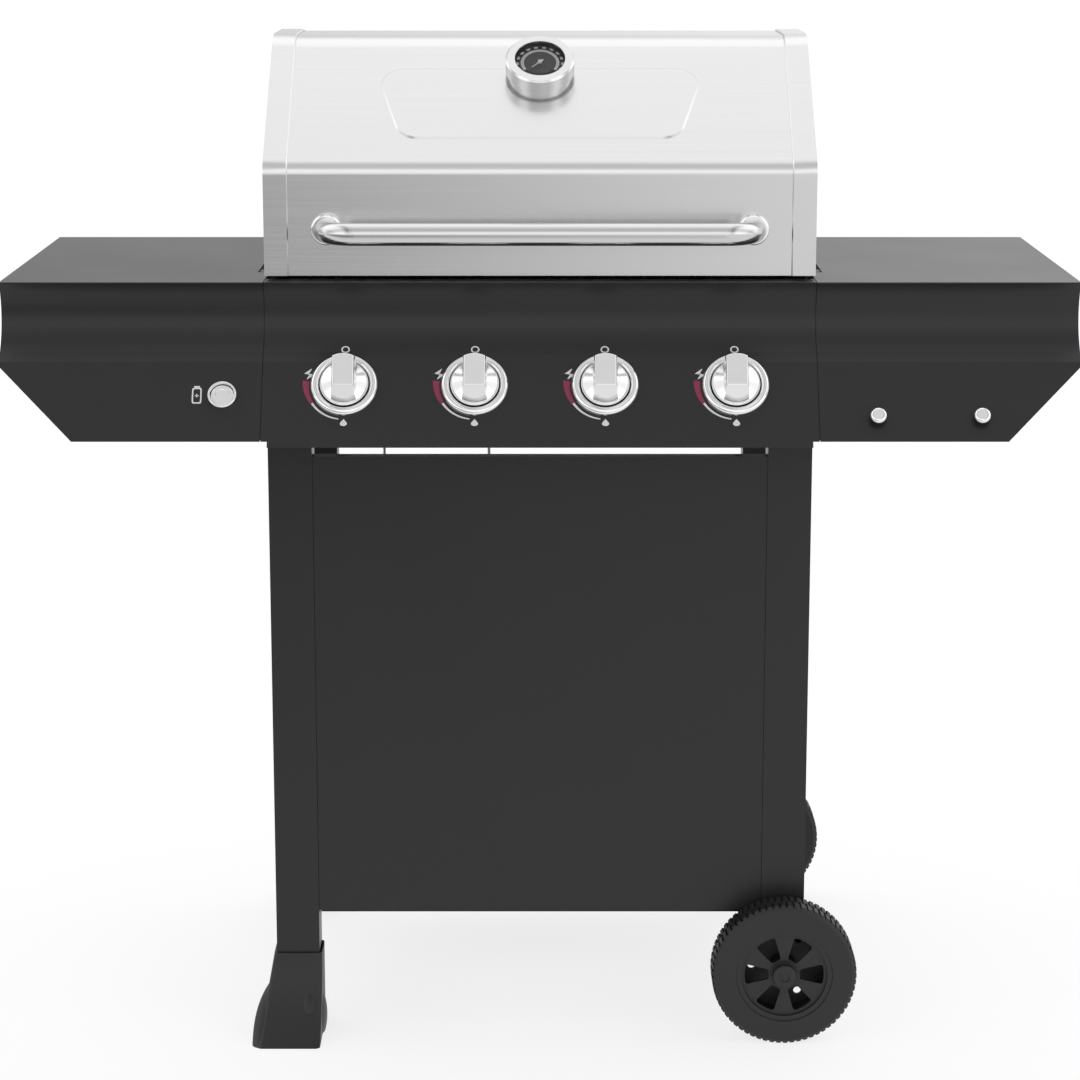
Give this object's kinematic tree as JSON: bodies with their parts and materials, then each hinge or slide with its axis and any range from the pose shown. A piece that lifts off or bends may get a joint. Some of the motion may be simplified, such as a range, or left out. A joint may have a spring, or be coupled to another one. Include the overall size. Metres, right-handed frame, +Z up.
{
  "type": "gas barbecue grill",
  "caption": "Gas barbecue grill on a two-wheeled cart with a hinged stainless lid, leaning control panel with push-and-turn knobs, side shelves and a sliding grease tray.",
  "frame": {"origin": "on the ground under the middle of the grill's box", "axes": "+X to the right as the cook faces the grill, +Y to the back, +Z up"},
  "size_m": [1.2, 0.645, 1.153],
  "materials": {
    "black_enamel": "semi-gloss black powder coat on folded steel",
    "stainless": "finely brushed stainless steel",
    "tube_steel": "polished stainless tube",
    "chrome": "bright chrome plate",
    "black_plastic": "moulded black plastic, fine grain",
    "tyre_black": "moulded black tyre",
    "cast_grate": "matt enamelled grate",
    "firebox_enamel": "dull heat-proof black enamel",
    "plain_steel": "plain bright steel",
    "zinc_tray": "bright pressed sheet",
    "valve_brass": "turned brass",
    "ceramic": "white glazed ceramic",
    "dial_face": "matt black printed dial",
    "needle_white": "white painted pointer",
    "print_white": "white printed marks on the panels and the dial",
    "print_red": "red printed arcs beside the knobs",
    "gauge_glass": "clear flat glass"
  },
  "bodies": {
    "cart": {"firebox_front_wall": "firebox_enamel", "firebox_rear_wall": "firebox_enamel", "firebox_left_end": "firebox_enamel", "firebox_right_end": "firebox_enamel", "firebox_floor": "firebox_enamel", "burner_tubes": "plain_steel", "ignition_electrodes": "ceramic", "flame_tamers": "plain_steel", "cooking_grate_left": "cast_grate", "cooking_grate_middle": "cast_grate", "cooking_grate_right": "cast_grate", "warming_rack": "chrome", "gas_manifold": "plain_steel", "gas_valves": "valve_brass", "control_panel": "black_enamel", "knob_bezels": "chrome", "right_shelf_top": "black_enamel", "left_shelf_top": "black_enamel", "right_shelf_fascia": "black_enamel", "left_shelf_fascia": "black_enamel", "shelf_brackets": "black_enamel", "igniter_module": "chrome", "tool_hooks": "chrome", "front_right_leg": "black_enamel", "rear_right_leg": "black_enamel", "front_left_leg": "black_enamel", "rear_left_leg": "black_enamel", "front_left_foot": "black_plastic", "rear_left_foot": "black_plastic", "front_panel": "black_enamel", "frame_rails": "black_enamel", "bottom_shelf": "black_enamel", "wheel_axle": "plain_steel", "axle_caps": "black_plastic"},
    "lid": {"lid_panel": "stainless", "right_lid_end_cap": "stainless", "left_lid_end_cap": "stainless", "hinge_pins": "plain_steel", "lid_handle": "tube_steel", "handle_bosses": "chrome", "gauge_bezel": "chrome", "gauge_dial": "dial_face", "gauge_lens": "gauge_glass"},
    "needle": {"gauge_needle": "needle_white"},
    "collar_1": {"valve_collar_1": "plain_steel"},
    "knob_1": {"control_knob_1": "chrome"},
    "collar_2": {"valve_collar_2": "plain_steel"},
    "knob_2": {"control_knob_2": "chrome"},
    "collar_3": {"valve_collar_3": "plain_steel"},
    "knob_3": {"control_knob_3": "chrome"},
    "collar_4": {"valve_collar_4": "plain_steel"},
    "knob_4": {"control_knob_4": "chrome"},
    "igniter_button": {"igniter_button": "chrome"},
    "front_wheel": {"front_tyre": "tyre_black", "front_hub": "black_plastic"},
    "rear_wheel": {"rear_tyre": "tyre_black", "rear_hub": "black_plastic"},
    "grease_tray": {"grease_tray": "zinc_tray", "grease_cup": "zinc_tray", "grease_cup_hanger": "plain_steel"}
  },
  "joints": [
    {"name": "lid_hinge", "type": "hinge", "parent": "cart", "child": "lid", "pos_m": [0, 0.2055, 0.915], "axis": [-1, 0, 0], "range_deg": [0, 90]},
    {"name": "gauge_needle_turn", "type": "hinge", "parent": "lid", "child": "needle", "pos_m": [0, -0.10948, 1.10914], "axis": [0, 0.6293, -0.7771], "range_deg": [0, 270], "stiffness_Nm_per_rad": 0.002},
    {"name": "knob_push_1", "type": "slide", "parent": "cart", "child": "collar_1", "axis": [0, 0.829, -0.5592], "range_m": [0, 0.004], "stiffness_N_per_m": 900, "springref_m": -0.004},
    {"name": "knob_turn_1", "type": "hinge", "parent": "collar_1", "child": "knob_1", "pos_m": [-0.216, -0.28072, 0.77996], "axis": [0, -0.829, 0.5592], "range_deg": [0, 180]},
    {"name": "knob_push_2", "type": "slide", "parent": "cart", "child": "collar_2", "axis": [0, 0.829, -0.5592], "range_m": [0, 0.004], "stiffness_N_per_m": 900, "springref_m": -0.004},
    {"name": "knob_turn_2", "type": "hinge", "parent": "collar_2", "child": "knob_2", "pos_m": [-0.072, -0.28072, 0.77996], "axis": [0, -0.829, 0.5592], "range_deg": [0, 180]},
    {"name": "knob_push_3", "type": "slide", "parent": "cart", "child": "collar_3", "axis": [0, 0.829, -0.5592], "range_m": [0, 0.004], "stiffness_N_per_m": 900, "springref_m": -0.004},
    {"name": "knob_turn_3", "type": "hinge", "parent": "collar_3", "child": "knob_3", "pos_m": [0.072, -0.28072, 0.77996], "axis": [0, -0.829, 0.5592], "range_deg": [0, 180]},
    {"name": "knob_push_4", "type": "slide", "parent": "cart", "child": "collar_4", "axis": [0, 0.829, -0.5592], "range_m": [0, 0.004], "stiffness_N_per_m": 900, "springref_m": -0.004},
    {"name": "knob_turn_4", "type": "hinge", "parent": "collar_4", "child": "knob_4", "pos_m": [0.216, -0.28072, 0.77996], "axis": [0, -0.829, 0.5592], "range_deg": [0, 180]},
    {"name": "igniter_push", "type": "slide", "parent": "cart", "child": "igniter_button", "axis": [0, 0.829, -0.5592], "range_m": [0, 0.004], "stiffness_N_per_m": 700, "springref_m": -0.003},
    {"name": "front_wheel_spin", "type": "hinge", "parent": "cart", "child": "front_wheel", "pos_m": [0.2835, -0.2355, 0.084], "axis": [0, 1, 0], "continuous": true},
    {"name": "rear_wheel_spin", "type": "hinge", "parent": "cart", "child": "rear_wheel", "pos_m": [0.2835, 0.2865, 0.084], "axis": [0, 1, 0], "continuous": true},
    {"name": "grease_tray_slide", "type": "slide", "parent": "cart", "child": "grease_tray", "axis": [0, 1, 0], "range_m": [0, 0.33]}
  ]
}
